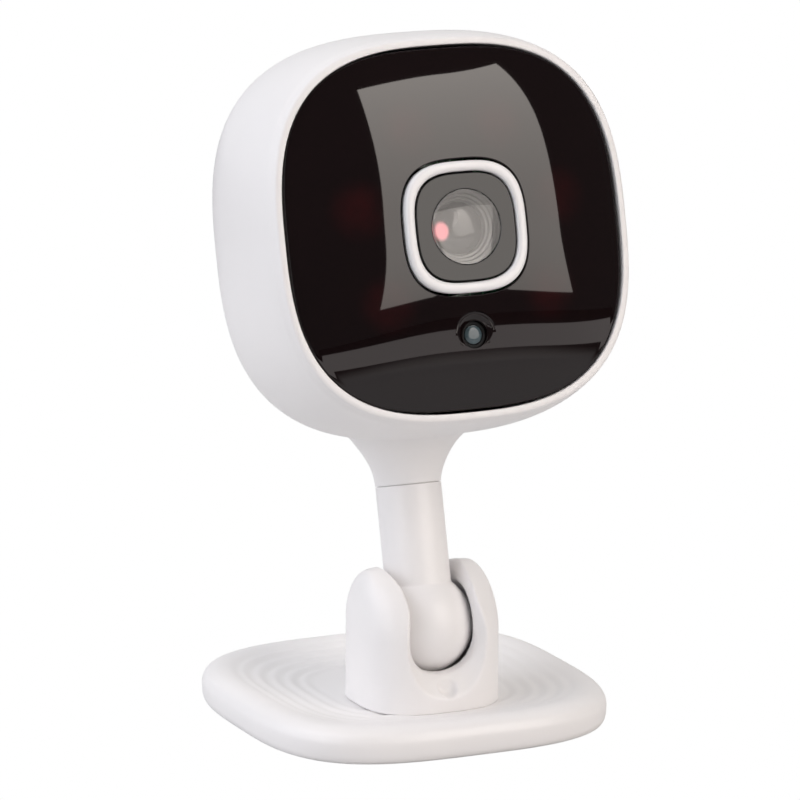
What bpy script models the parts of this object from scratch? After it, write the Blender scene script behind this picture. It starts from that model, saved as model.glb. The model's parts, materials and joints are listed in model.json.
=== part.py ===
"""Small indoor security camera: a head that swivels on a stem, tilting in a bracket on a flat foot.

Sizes are in millimetres and the helpers turn them into metres. World frame: +Z up, front is -Y, origin at the
centre of the foot's resting face. The head and the stem are drawn in the stem's own frame: origin on the tilt
axis, +Z along the stem, front -Y. The empty "tilt_axis" leans that frame back to the rest pose.
"""
import math

import bmesh
import bpy
from mathutils import Vector

MM = 0.001
GAP = 0.3                        # clearance left between neighbouring pieces

# Base and hinge
BASE_HALF = 26.57                # half width of the rounded-square foot
BASE_POWER = 3.24                # squareness of its outline
BASE_HEIGHT = 5.57
DISH_HEIGHT = 4.0                # height of the flat centre of the dished top
BASE_RIM_Z = 0.4                 # the rim stays clear of the table by this much
POCKET_HALF = 24.2
POCKET_TOP = 2.9
HINGE_Y = -6.4                   # the tilt axis stands forward of the foot's centre
HINGE_Z = 15.0
REST_TILT = 14.5                 # degrees that the stem leans back at rest

# Bracket and knuckle
BRACKET_HALF_X = 10.4
BRACKET_HALF_Y = 9.6
BRACKET_POWER = 2.8
BRACKET_TOP = 8.6                # above the tilt axis
CHEEK_BEND = 0.0                 # the cheeks start to round over at this height
CHEEK_CREST = 7.2                # half distance between the crests of the two cheeks
CREST_SHIFT = 0.8                # the crests stand behind the tilt axis
SLOT_HALF = 5.15
SLOT_DEPTH = 7.65
LIP_Y = -7.0                     # front edge of the slot
LIP_DEPTH = 5.65
WEB_FRONT_Y = 7.65               # rear web that stops the stem, behind the tilt axis
WEB_DEPTH = 2.1                  # the web's top edge lies this far below the axis
KNUCKLE_RADIUS = 7.3             # ball with its two sides cut flat
KNUCKLE_HALF = 4.85
BOLT_RADIUS = 1.5
BOLT_CLEARANCE = 0.35

# Stem and swivel, heights along the stem from the tilt axis
STEM_RADIUS = 4.75
SEAM_Z = 20.15                   # joint line between the stem and the neck
SPIGOT_RADIUS = 3.3
SPIGOT_TOP = 27.0
NECK_LEDGE_Z = 27.3
NECK_BORE = 3.7
NECK_CAVITY = 4.8

# Head
HEAD_CENTRE = 55.34
HEAD_POWER = 2.82
RIM_Y = -24.6
RIM_HALF = 26.85
WIDEST_Y = -11.45
HEAD_HALF = 28.76
BACK_Y = 8.95
BACK_POWER = 2.5                 # fullness of the domed back
WALL = 1.9
OPENING_HALF = 25.85

# Front panel and lens
PANEL_HALF = 25.5
PANEL_POWER = 2.97
PANEL_EDGE_Y = -24.18
PANEL_DOME = 4.4
PANEL_THICKNESS = 1.4
RING_FRONT_Y = -29.05
RING_HALF = 9.25
RING_INNER = 7.76
MASK_Y = -28.6
WINDOW_RADIUS = 5.3
LED_CIRCLE = 15.7
SENSOR_DROP = 15.1               # light sensor below the lens axis

# Boards
LED_BOARD_Y = -21.0
MAIN_BOARD_Y = -5.2              # front face of the main board
BOARD_THICKNESS = 1.2
BOARD_HOLE = (14.0, 15.0)        # screw places, right and up from the lens axis
FILTER_Y = -10.9                 # middle of the day/night filter slide
FILTER_PITCH = 5.8               # distance between its two glasses

WHITE = ("white_abs", (0.84, 0.84, 0.85, 1.0), 0.42, 0.0)
TRIM = ("white_trim", (0.86, 0.86, 0.87, 1.0), 0.18, 0.0)
BLACK_PANEL = ("ir_black_panel", (0.012, 0.006, 0.006, 1.0), 0.06, 0.0)
DARK = ("dark_plastic", (0.03, 0.03, 0.032, 1.0), 0.5, 0.0)
GREY_MASK = ("grey_mask", (0.13, 0.13, 0.13, 1.0), 0.35, 0.0)
GLASS = ("clear_glass", (0.75, 0.78, 0.78, 1.0), 0.05, 0.0)
FILTER_GLASS = ("filter_glass", (0.35, 0.62, 0.68, 1.0), 0.05, 0.0)
STEEL = ("steel", (0.55, 0.55, 0.56, 1.0), 0.3, 1.0)
BRASS = ("brass", (0.72, 0.53, 0.24, 1.0), 0.3, 1.0)
ALUMINIUM = ("aluminium", (0.78, 0.78, 0.8, 1.0), 0.35, 1.0)
BOARD = ("board_green", (0.02, 0.13, 0.06, 1.0), 0.4, 0.0)
RUBBER = ("grey_rubber", (0.3, 0.32, 0.35, 1.0), 0.8, 0.0)
BLACK_RUBBER = ("black_rubber", (0.02, 0.02, 0.02, 1.0), 0.8, 0.0)
LED_RESIN = ("led_resin", (0.12, 0.03, 0.05, 1.0), 0.1, 0.0)


def clear_scene():
    """Remove every object, so that the part starts from nothing."""
    for old in list(bpy.data.objects):
        bpy.data.objects.remove(old, do_unlink=True)


def make_material(finish):
    """Return the Principled material of a finish, making it on first use."""
    name, colour, roughness, metallic = finish
    material = bpy.data.materials.get(name)
    if material is None:
        material = bpy.data.materials.new(name)
        material.use_nodes = True
        shader = material.node_tree.nodes["Principled BSDF"]
        shader.inputs["Base Color"].default_value = colour
        shader.inputs["Roughness"].default_value = roughness
        shader.inputs["Metallic"].default_value = metallic
    return material


def add_empty(name, location, parent=None, lean=0.0):
    """Add an empty that stands for a joint axis; location in millimetres, lean in degrees about X."""
    empty = bpy.data.objects.new(name, None)
    bpy.context.scene.collection.objects.link(empty)
    empty.location = Vector(location) * MM
    empty.rotation_euler = (math.radians(lean), 0.0, 0.0)
    empty.parent = parent
    return empty


def add_object(name, shape, finish, parent, location, smooth_angle=35.0):
    """Turn a bmesh in millimetres into a named object at a location in its parent's frame."""
    bmesh.ops.recalc_face_normals(shape, faces=shape.faces)
    bmesh.ops.scale(shape, vec=(MM, MM, MM), verts=shape.verts)
    mesh = bpy.data.meshes.new(name)
    shape.to_mesh(mesh)
    shape.free()
    mesh.shade_smooth()
    mesh.set_sharp_from_angle(angle=math.radians(smooth_angle))
    if finish is not None:
        mesh.materials.append(make_material(finish))
    part = bpy.data.objects.new(name, mesh)
    bpy.context.scene.collection.objects.link(part)
    part.location = Vector(location) * MM
    part.parent = parent
    return part


def outline(half_u, half_v, power, count):
    """Return the points of a superellipse |u/a|^n + |v/b|^n = 1, evenly spread by angle."""
    points = []
    for step in range(count):
        angle = 2.0 * math.pi * step / count
        cosine, sine = math.cos(angle), math.sin(angle)
        reach = (abs(cosine) ** power + abs(sine) ** power) ** (-1.0 / power)
        points.append((half_u * reach * cosine, half_v * reach * sine))
    return points


def on_axis(axis, station, u, v):
    """Place a section point: station runs along the axis, u and v across it."""
    if axis == "X":
        return (station, u, v)
    if axis == "Y":
        return (u, station, v)
    return (u, v, station)


def skin(rings, closed):
    """Join rings of points into a mesh: a hoop if closed, otherwise capped at both ends."""
    shape = bmesh.new()
    loops = [[shape.verts.new(point) for point in ring] for ring in rings]
    count = len(loops[0])
    pairs = list(zip(loops, loops[1:]))
    if closed:
        pairs.append((loops[-1], loops[0]))
    else:
        shape.faces.new(loops[0])
        shape.faces.new(loops[-1])
    for first, second in pairs:
        for step in range(count):
            after = (step + 1) % count
            shape.faces.new((first[step], first[after], second[after], second[step]))
    return shape


def add_loft(name, sections, finish, parent, location=(0, 0, 0), axis="Y", count=48, closed=False):
    """Loft superellipse sections: (station, half width, power), or (station, half u, half v, power, shift v)."""
    rings = []
    for section in sections:
        if len(section) == 3:
            section = (section[0], section[1], section[1], section[2], 0.0)
        station, half_u, half_v, power, shift_v = section
        rings.append([on_axis(axis, station, u, v + shift_v) for u, v in outline(half_u, half_v, power, count)])
    return add_object(name, skin(rings, closed), finish, parent, location)


def add_turned(name, profile, finish, parent, location=(0, 0, 0), axis="Y", count=24, closed=False):
    """Turn a profile of (station, radius) about an axis."""
    sections = [(station, radius, 2.0) for station, radius in profile]
    return add_loft(name, sections, finish, parent, location, axis, count, closed)


def add_box(name, low, high, finish, parent, location=(0, 0, 0), round_edges=0.0):
    """Add a box between two corners, with its edges bevelled if asked."""
    shape = bmesh.new()
    bmesh.ops.create_cube(shape, size=1.0)
    size = [high[i] - low[i] for i in range(3)]
    middle = [(high[i] + low[i]) / 2.0 for i in range(3)]
    bmesh.ops.scale(shape, vec=size, verts=shape.verts)
    bmesh.ops.translate(shape, vec=middle, verts=shape.verts)
    if round_edges:
        bmesh.ops.bevel(shape, geom=shape.edges[:], offset=round_edges, segments=2, profile=0.5,
                        affect="EDGES")
    return add_object(name, shape, finish, parent, location)


def combine(target, tool, operation="DIFFERENCE"):
    """Cut a tool object from a target, or join it, with a Boolean modifier, and mark the tool as a guide."""
    modifier = target.modifiers.new(tool.name, "BOOLEAN")
    modifier.operation = operation
    modifier.solver = "EXACT"
    modifier.object = tool
    tool.hide_render = True
    tool.display_type = "WIRE"


def back_half(y):
    """Half width of the head behind its widest section: a superellipse arc that closes at the back."""
    share = (y - WIDEST_Y) / (BACK_Y - WIDEST_Y)
    return HEAD_HALF * (1.0 - share ** BACK_POWER) ** (1.0 / BACK_POWER)


def back_y(half):
    """Depth at which the domed back has a given half width."""
    share = (1.0 - (half / HEAD_HALF) ** BACK_POWER) ** (1.0 / BACK_POWER)
    return WIDEST_Y + share * (BACK_Y - WIDEST_Y)


def front_half(y):
    """Half width of the head ahead of its widest section: a parabola down to the rim."""
    share = (WIDEST_Y - y) / (WIDEST_Y - RIM_Y)
    return HEAD_HALF - (HEAD_HALF - RIM_HALF) * share ** 2


def panel_y(half, thickness=0.0):
    """Depth of the panel's domed face where its outline has a given half width."""
    return PANEL_EDGE_Y - PANEL_DOME * (1.0 - (half / PANEL_HALF) ** 2.4) + thickness


def build_base():
    """Foot: dished plate, ballast, pad and the two screws that hold the bracket."""
    top = [(DISH_HEIGHT, 13.5), (DISH_HEIGHT + 0.4, 17.5), (BASE_HEIGHT - 0.3, 21.6), (BASE_HEIGHT, BASE_HALF - 3.2)]
    side = [(BASE_HEIGHT - 0.25, BASE_HALF - 1.6), (BASE_HEIGHT - 1.1, BASE_HALF - 0.5),
            (BASE_HEIGHT - 2.4, BASE_HALF), (BASE_RIM_Z + 1.0, BASE_HALF - 0.15), (BASE_RIM_Z, BASE_HALF - 0.9)]
    pocket = [(BASE_RIM_Z, POCKET_HALF), (POCKET_TOP, POCKET_HALF), (POCKET_TOP, 12.0)]
    sections = [(z, half, BASE_POWER) for z, half in top + side + pocket]
    plate = add_loft("base_plate", sections, WHITE, None, axis="Z", count=40)
    pad = [(0.0, 23.2), (0.3, 23.6), (0.8, 23.6)]
    add_loft("foot_pad", [(z, half, BASE_POWER) for z, half in pad], RUBBER, None, axis="Z", count=32)
    ballast = add_loft("ballast_plate", [(1.1, 23.7, BASE_POWER), (2.1, 23.7, BASE_POWER)], STEEL, None,
                       axis="Z", count=32)
    for side_name, x in (("left", -7.7), ("right", 7.7)):
        place = (x, HINGE_Y + 2.0, 0.0)
        hole = add_turned("cut_base_" + side_name, [(1.5, 1.5), (12.0, 1.5)], None, None, place, "Z", 10)
        combine(plate, hole)
        relief = add_turned("cut_ballast_" + side_name, [(0.5, 2.7), (2.7, 2.7)], None, None, place, "Z", 10)
        combine(ballast, relief)
        screw = [(1.4, 1.9), (1.7, 2.2), (2.6, 2.2), (2.6, 1.1), (10.2, 1.1), (10.8, 0.5)]
        add_turned("bracket_screw_" + side_name, screw, STEEL, None, place, "Z", 10)


def slot_ring(y, half_width, depth, power, top=14.0, count=12):
    """U outline across X and Z: a rounded bottom, squarer for a higher power, and straight sides to the top."""
    ring = []
    for step in range(count + 1):
        angle = math.pi + math.pi * step / count
        reach = (abs(math.cos(angle)) ** power + abs(math.sin(angle)) ** power) ** (-1.0 / power)
        ring.append((half_width * reach * math.cos(angle), y, depth * reach * math.sin(angle)))
    return ring + [(half_width, y, top), (-half_width, y, top)]


def build_bracket():
    """U-shaped bracket with the hinge bolt and its threaded insert."""
    foot_z = DISH_HEIGHT + GAP - HINGE_Z
    sections = [(foot_z, BRACKET_HALF_X + 0.3, BRACKET_HALF_Y + 0.3, BRACKET_POWER, 0.0),
                (foot_z + 1.5, BRACKET_HALF_X, BRACKET_HALF_Y, BRACKET_POWER, 0.0),
                (CHEEK_BEND, BRACKET_HALF_X, BRACKET_HALF_Y, BRACKET_POWER, 0.0)]
    for angle in (18.0, 35.0, 51.0, 66.0, 78.0):
        rise = math.sin(math.radians(angle))
        shrink = math.cos(math.radians(angle))
        half_x = CHEEK_CREST + (BRACKET_HALF_X - CHEEK_CREST) * shrink ** 0.8
        sections.append((CHEEK_BEND + (BRACKET_TOP - CHEEK_BEND) * rise, half_x, BRACKET_HALF_Y * shrink,
                         BRACKET_POWER, CREST_SHIFT * rise))
    hinge = (0.0, HINGE_Y, HINGE_Z)
    bracket = add_loft("hinge_bracket", sections, WHITE, None, hinge, "Z", 36)
    slot = [slot_ring(-12.0, 8.5, 10.8, 2.4), slot_ring(-9.6, 7.0, 8.8, 2.4),
            slot_ring(LIP_Y, SLOT_HALF, LIP_DEPTH, 2.4), slot_ring(LIP_Y + 0.6, SLOT_HALF, LIP_DEPTH, 2.4),
            slot_ring(LIP_Y + 0.65, SLOT_HALF, SLOT_DEPTH, 9.0), slot_ring(WEB_FRONT_Y, SLOT_HALF, SLOT_DEPTH, 9.0),
            slot_ring(WEB_FRONT_Y + 0.05, SLOT_HALF, WEB_DEPTH, 9.0), slot_ring(14.0, SLOT_HALF, WEB_DEPTH, 9.0)]
    combine(bracket, add_object("cut_slot", skin(slot, False), None, None, hinge))
    bore = BOLT_RADIUS + BOLT_CLEARANCE
    stepped = [(-8.9, 2.5), (0.0, 2.5), (0.0, bore), (8.0, bore), (8.0, 3.0), (12.0, 3.0)]
    combine(bracket, add_turned("cut_bolt", stepped, None, None, hinge, "X", 16))
    for side_name, x in (("left", -7.7), ("right", 7.7)):
        place = (x, HINGE_Y + 2.0, 0.0)
        thread = [(4.0, 1.4), (11.2, 1.4)]
        combine(bracket, add_turned("cut_thread_" + side_name, thread, None, None, place, "Z", 10))
    bolt = [(-8.3, BOLT_RADIUS - 0.3), (-8.0, BOLT_RADIUS), (8.3, BOLT_RADIUS), (8.3, 2.6), (9.2, 2.6), (9.6, 2.0)]
    add_turned("hinge_bolt", bolt, STEEL, None, hinge, "X", 16)
    insert = [(-8.6, 2.2), (-5.45, 2.2), (-5.45, bore), (-8.6, bore)]
    add_turned("hinge_insert", insert, BRASS, None, hinge, "X", 16, closed=True)


def build_stem(tilt):
    """Stem with its knuckle, the wave washers and the swivel's screw, washer and friction ring."""
    stem_profile = [(-0.5, STEM_RADIUS), (SEAM_Z - GAP, STEM_RADIUS), (SEAM_Z - GAP, SPIGOT_RADIUS),
                    (SPIGOT_TOP - 0.3, SPIGOT_RADIUS), (SPIGOT_TOP, SPIGOT_RADIUS - 0.3)]
    stem = add_turned("stem", stem_profile, WHITE, tilt, axis="Z", count=28)
    knuckle = []
    for step in range(11):
        x = KNUCKLE_HALF * (-1.0 + 2.0 * step / 10.0)
        knuckle.append((x, math.sqrt(KNUCKLE_RADIUS ** 2 - x ** 2)))
    combine(stem, add_turned("join_knuckle", knuckle, None, tilt, axis="X", count=28), "UNION")
    bore = BOLT_RADIUS + BOLT_CLEARANCE
    floor = KNUCKLE_HALF - 0.9
    bored = [(-8.0, 2.95), (-floor, 2.95), (-floor, bore), (floor, bore), (floor, 2.95), (8.0, 2.95)]
    combine(stem, add_turned("cut_knuckle", bored, None, tilt, axis="X", count=16))
    combine(stem, add_turned("cut_pilot", [(16.0, 1.4), (30.0, 1.4)], None, tilt, axis="Z", count=10))
    for side_name, side in (("left", -1.0), ("right", 1.0)):
        low, high = side * (KNUCKLE_HALF - 0.6), side * (KNUCKLE_HALF - 0.1)
        washer = [(low, 2.65), (high, 2.65), (high, bore), (low, bore)]
        add_turned("wave_washer_" + side_name, washer, STEEL, tilt, axis="X", count=16, closed=True)
    friction = [(27.6, 4.5), (28.4, 4.5), (28.4, 3.6), (27.6, 3.6)]
    add_turned("friction_ring", friction, BLACK_RUBBER, tilt, axis="Z", count=16, closed=True)
    washer = [(28.7, 4.5), (29.3, 4.5), (29.3, 1.45), (28.7, 1.45)]
    add_turned("swivel_washer", washer, STEEL, tilt, axis="Z", count=16, closed=True)
    screw = [(17.0, 0.6), (17.6, 1.1), (29.6, 1.1), (29.6, 2.3), (30.7, 2.3), (31.1, 1.8)]
    add_turned("swivel_screw", screw, STEEL, tilt, axis="Z", count=10)


def build_housing(head):
    """One-piece head shell: domed back, open front, flared neck, bosses, speaker grille and openings."""
    centre = (0.0, 0.0, HEAD_CENTRE)
    front = [(RIM_Y + 0.35, OPENING_HALF), (RIM_Y, OPENING_HALF + 0.35), (RIM_Y, RIM_HALF - 0.5),
             (RIM_Y + 0.4, RIM_HALF - 0.05)]
    side = [(y, front_half(y)) for y in (-22.0, -18.0, WIDEST_Y)]
    back = [(y, back_half(y)) for y in (-6.0, -2.0, 1.5, 4.3, 6.4, 7.8, 8.6)]
    profile = [(-12.0, OPENING_HALF)] + front + side + back
    body = add_loft("housing", [(y, half, HEAD_POWER) for y, half in profile], WHITE, head, centre, count=40)
    flare = [(SEAM_Z, STEM_RADIUS, STEM_RADIUS), (21.6, 5.05, 4.95), (23.2, 5.65, 5.2), (24.8, 6.55, 5.5),
             (26.2, 7.7, 5.8), (27.4, 8.6, 6.0), (29.0, 9.0, 6.2), (33.0, 8.0, 6.5), (38.5, 5.6, 6.6)]
    neck = []
    for z, wide, behind in flare:
        half_y = (wide + behind) / 2.0
        neck.append((z, wide, half_y, 2.0, behind - half_y))
    combine(body, add_loft("join_neck", neck, None, head, axis="Z", count=28), "UNION")
    room = [(-30.0, OPENING_HALF), (-15.0, OPENING_HALF), (WIDEST_Y, HEAD_HALF - WALL - 0.6)]
    room += [(y - 1.0, back_half(y) - WALL) for y in (-3.0, 1.5, 4.3, 6.4, 7.6)]
    combine(body, add_loft("cut_room", [(y, half, HEAD_POWER) for y, half in room], None, head, centre, count=36))
    bore = [(15.0, NECK_BORE), (NECK_LEDGE_Z, NECK_BORE), (NECK_LEDGE_Z, NECK_CAVITY), (33.0, NECK_CAVITY)]
    combine(body, add_turned("cut_neck", bore, None, head, axis="Z", count=18))
    across, up = BOARD_HOLE
    for number, (x, z) in enumerate(((-across, up), (across, up), (-across, -up), (across, -up)), 1):
        place = (x, 0.0, HEAD_CENTRE + z)
        boss = add_turned("join_boss_%d" % number, [(-3.7, 2.4), (4.3, 2.2)], None, head, place, count=10)
        combine(body, boss, "UNION")
        combine(body, add_turned("cut_boss_%d" % number, [(-5.0, 1.15), (2.5, 1.15)], None, head, place, count=8))
    add_grille_cutters(body, head)
    combine(body, add_loft("cut_port", [(3.0, 5.0, 2.1, 4.0, 0.0), (12.0, 5.0, 2.1, 4.0, 0.0)], None, head,
                           (0.0, 0.0, HEAD_CENTRE - 12.0), count=16))
    combine(body, add_turned("cut_reset", [(3.0, 1.75), (12.0, 1.75)], None, head,
                             (9.5, 0.0, HEAD_CENTRE - 12.0), count=12))
    combine(body, add_box("cut_card", (20.0, -4.0, -6.2), (32.0, -1.9, 6.2), None, head, centre))


def add_grille_cutters(body, head):
    """Cut the speaker grille: one hole in the middle and two rings round it."""
    for ring, holes in enumerate((1, 6, 12)):
        for number in range(holes):
            angle = 2.0 * math.pi * number / holes
            place = (3.0 * ring * math.cos(angle), 0.0, HEAD_CENTRE + 7.0 + 3.0 * ring * math.sin(angle))
            hole = add_turned("cut_grille_%d_%d" % (ring, number), [(4.0, 0.7), (12.0, 0.7)], None, head, place,
                              count=6)
            combine(body, hole)


def build_front(head):
    """Front panel, lens trim, mask and window, light-sensor window and the frame behind them."""
    centre = (0.0, 0.0, HEAD_CENTRE)
    edge = PANEL_HALF - 0.4
    halves = (edge, 21.0, 15.5, 9.62)
    outer = [(PANEL_EDGE_Y + 1.6, PANEL_HALF), (PANEL_EDGE_Y + 0.2, PANEL_HALF)]
    outer += [(panel_y(half), half) for half in halves]
    inner = [(panel_y(half, PANEL_THICKNESS), half) for half in reversed(halves[1:])]
    inner += [(PANEL_EDGE_Y + 1.6, 23.6)]
    sections = [(y, half, PANEL_POWER) for y, half in outer + inner]
    panel = add_loft("front_panel", sections, BLACK_PANEL, head, centre, count=40, closed=True)
    sensor = (0.0, 0.0, HEAD_CENTRE - SENSOR_DROP)
    combine(panel, add_turned("cut_sensor", [(-32.0, 2.2), (-20.0, 2.2)], None, head, sensor, count=14))
    add_turned("sensor_window", [(-24.6, 1.8), (-26.2, 1.8), (-26.6, 1.2)], GLASS, head, sensor, count=12)
    ring = [(-26.2, RING_HALF), (-28.5, RING_HALF), (-28.9, RING_HALF - 0.2), (RING_FRONT_Y, RING_HALF - 0.6),
            (RING_FRONT_Y, RING_INNER + 0.4), (-28.9, RING_INNER), (-26.2, RING_INNER)]
    add_loft("lens_trim_ring", [(y, half, 3.05) for y, half in ring], TRIM, head, centre, count=32, closed=True)
    mask = add_loft("lens_mask", [(MASK_Y, RING_INNER - GAP, 3.1), (MASK_Y + 0.9, RING_INNER - GAP, 3.1)],
                    GREY_MASK, head, centre, count=32)
    combine(mask, add_turned("cut_mask", [(-31.0, WINDOW_RADIUS), (-25.0, WINDOW_RADIUS)], None, head, centre,
                             count=24))
    add_turned("lens_window", [(MASK_Y, 4.9), (MASK_Y + 0.8, 5.0)], GLASS, head, centre, count=24)
    frame = [(-22.2, 25.3), (-18.6, 25.3), (-18.6, 21.4), (-19.5, 21.4), (-19.5, 23.3), (-22.2, 23.3)]
    add_loft("front_frame", [(y, half, PANEL_POWER) for y, half in frame], DARK, head, centre, count=32,
             closed=True)


def build_led_board(head):
    """Ring-shaped board with the infrared LEDs, the light sensor and the rubber baffle round the lens."""
    centre = (0.0, 0.0, HEAD_CENTRE)
    board = add_loft("led_board", [(LED_BOARD_Y, 22.9, PANEL_POWER), (LED_BOARD_Y + 1.0, 22.9, PANEL_POWER)],
                     BOARD, head, centre, count=32)
    combine(board, add_turned("cut_led_board", [(-24.0, 9.4), (-16.0, 9.4)], None, head, centre, count=20))
    for number in range(1, 7):
        angle = math.radians(-90.0 + 360.0 * number / 7.0)
        place = (LED_CIRCLE * math.cos(angle), 0.0, HEAD_CENTRE + LED_CIRCLE * math.sin(angle))
        led = [(-21.3, 2.0), (-23.4, 1.9), (-24.3, 1.1)]
        add_turned("ir_led_%d" % number, led, LED_RESIN, head, place, count=10)
    sensor = (0.0, 0.0, HEAD_CENTRE - SENSOR_DROP)
    add_turned("light_sensor", [(-21.3, 1.5), (-23.6, 1.5), (-24.1, 1.0)], LED_RESIN, head, sensor, count=10)
    baffle = [(-25.9, 7.1), (-25.9, 8.3), (-18.9, 8.6), (-18.9, 7.1)]
    add_turned("lens_baffle", baffle, BLACK_RUBBER, head, centre, count=20, closed=True)


def build_lens(head):
    """Lens barrel and front glass, holder, image sensor and the sliding day/night filter."""
    centre = (0.0, 0.0, HEAD_CENTRE)
    barrel = [(-27.2, 5.0), (-27.2, 6.6), (-24.6, 6.6), (-24.6, 5.9), (-12.6, 5.9), (-12.6, 4.0), (-25.2, 4.0),
              (-25.2, 5.0)]
    add_turned("lens_barrel", barrel, DARK, head, centre, count=24, closed=True)
    add_turned("front_lens", [(-25.5, 4.6), (-26.0, 4.6), (-26.7, 3.6), (-27.1, 2.2), (-27.2, 0.8)], GLASS, head,
               centre, count=16)
    holder = add_box("lens_holder", (-9.0, -18.5, -8.0), (9.0, -5.6, 8.0), DARK, head, centre, 0.6)
    path = [(-20.0, 6.2), (-12.3, 6.2), (-12.3, 4.2), (-9.0, 4.2), (-9.0, 6.2), (-5.0, 6.2)]
    combine(holder, add_turned("cut_light_path", path, None, head, centre, count=18))
    combine(holder, add_box("cut_filter_slot", (-12.0, FILTER_Y - 0.8, -4.8), (12.0, FILTER_Y + 0.8, 4.8), None,
                            head, centre))
    add_box("image_sensor", (-3.6, -6.5, -3.6), (3.6, MAIN_BOARD_Y - GAP, 3.6), DARK, head, centre)
    slide = add_box("filter_slide", (-4.2, FILTER_Y - 0.4, -4.3), (10.0, FILTER_Y + 0.4, 4.3), DARK, head, centre)
    for name, x, finish in (("ir_cut_glass", 0.0, FILTER_GLASS), ("clear_filter_glass", FILTER_PITCH, GLASS)):
        place = (x, 0.0, HEAD_CENTRE)
        hole = add_turned("cut_" + name, [(FILTER_Y - 2.0, 2.6), (FILTER_Y + 2.0, 2.6)], None, head, place, count=14)
        combine(slide, hole)
        add_turned(name, [(FILTER_Y - 0.3, 2.3), (FILTER_Y + 0.3, 2.3)], finish, head, place, count=14)
    add_box("filter_actuator", (-4.5, -15.5, 8.3), (4.5, -9.5, 12.8), DARK, head, centre, 0.4)


def build_main_board(head):
    """Main board with its chips, sockets, speaker, microphone, antenna, reset switch and reset button."""
    centre = (0.0, 0.0, HEAD_CENTRE)
    rear = MAIN_BOARD_Y + BOARD_THICKNESS
    board = add_box("main_board", (-19.0, MAIN_BOARD_Y, -18.0), (19.0, rear, 18.0), BOARD, head, centre)
    across, up = BOARD_HOLE
    for number, (x, z) in enumerate(((-across, up), (across, up), (-across, -up), (across, -up)), 1):
        place = (x, 0.0, HEAD_CENTRE + z)
        combine(board, add_turned("cut_board_%d" % number, [(-7.0, 1.3), (-2.0, 1.3)], None, head, place, count=8))
        screw = [(1.5, 0.8), (-5.5, 0.8), (-5.5, 1.9), (-6.6, 1.9), (-6.9, 1.5)]
        add_turned("board_screw_%d" % number, screw, STEEL, head, place, count=8)
    front_face = MAIN_BOARD_Y - GAP
    back_face = rear + GAP
    add_box("processor", (-13.0, back_face, -4.5), (-4.0, back_face + 1.0, 4.5), DARK, head, centre)
    add_box("heat_spreader", (-14.0, back_face + 1.3, -5.5), (-3.0, back_face + 2.1, 5.5), ALUMINIUM, head, centre)
    add_box("wifi_module", (-17.5, back_face, -11.5), (-8.0, back_face + 2.0, -6.5), STEEL, head, centre, 0.3)
    card = add_box("card_socket", (7.5, back_face, -6.5), (21.5, back_face + 1.7, 6.5), STEEL, head, centre)
    combine(card, add_box("cut_card_mouth", (9.0, back_face + 0.4, -5.7), (23.0, back_face + 1.3, 5.7), None, head,
                          centre))
    socket = add_loft("usb_socket", [(back_face, 4.6, 1.7, 4.0, 0.0), (7.4, 4.6, 1.7, 4.0, 0.0)], STEEL, head,
                      (0.0, 0.0, HEAD_CENTRE - 12.0), count=16)
    combine(socket, add_loft("cut_usb", [(1.0, 4.2, 1.3, 4.0, 0.0), (9.0, 4.2, 1.3, 4.0, 0.0)], None, head,
                             (0.0, 0.0, HEAD_CENTRE - 12.0), count=16))
    combine(socket, add_box("join_tongue", (-3.3, 0.5, -0.35), (3.3, 6.2, 0.35), None, head,
                            (0.0, 0.0, HEAD_CENTRE - 12.0)), "UNION")
    reset = (9.5, 0.0, HEAD_CENTRE - 12.0)
    add_box("reset_switch", (-1.7, back_face, -1.7), (1.7, back_face + 1.6, 1.7), DARK, head, reset)
    add_turned("reset_button", [(-1.4, 1.4), (7.0, 1.4), (7.4, 1.0)], WHITE, head, reset, count=12)
    speaker = [(-0.5, 4.5), (-0.5, 8.5), (2.4, 9.0), (4.4, 9.0), (4.4, 8.0), (3.6, 6.5), (3.2, 3.0)]
    add_turned("speaker", speaker, DARK, head, (0.0, 0.0, HEAD_CENTRE + 7.0), count=20)
    add_turned("microphone", [(front_face, 2.0), (front_face - 1.6, 2.0)], ALUMINIUM, head,
               (9.0, 0.0, HEAD_CENTRE - 12.5), count=10)
    add_box("antenna", (-11.0, -14.0, 24.4), (11.0, -8.0, 24.8), BOARD, head, centre)


def main():
    """Build the camera from the foot up."""
    clear_scene()
    tilt = add_empty("tilt_axis", (0.0, HINGE_Y, HINGE_Z), lean=-REST_TILT)
    head = add_empty("pan_axis", (0.0, 0.0, 0.0), parent=tilt)
    build_base()
    build_bracket()
    build_stem(tilt)
    build_housing(head)
    build_front(head)
    build_led_board(head)
    build_lens(head)
    build_main_board(head)
    bpy.context.view_layer.update()


main()
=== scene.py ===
"""Small indoor security camera: a rounded-square head on a stem that tilts in a bracket on a dished foot.

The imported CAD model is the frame. Each sub-assembly is a class with its sizes in millimetres. It works out
its surfaces as whole numpy arrays, puts them where the frame's nodes and joints are, and finishes them.
"""
from __future__ import annotations

import json
import logging
import math
from collections.abc import Sequence
from dataclasses import dataclass, field
from enum import Enum

import bmesh
import bpy
import numpy as np
from mathutils import Matrix


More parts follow.
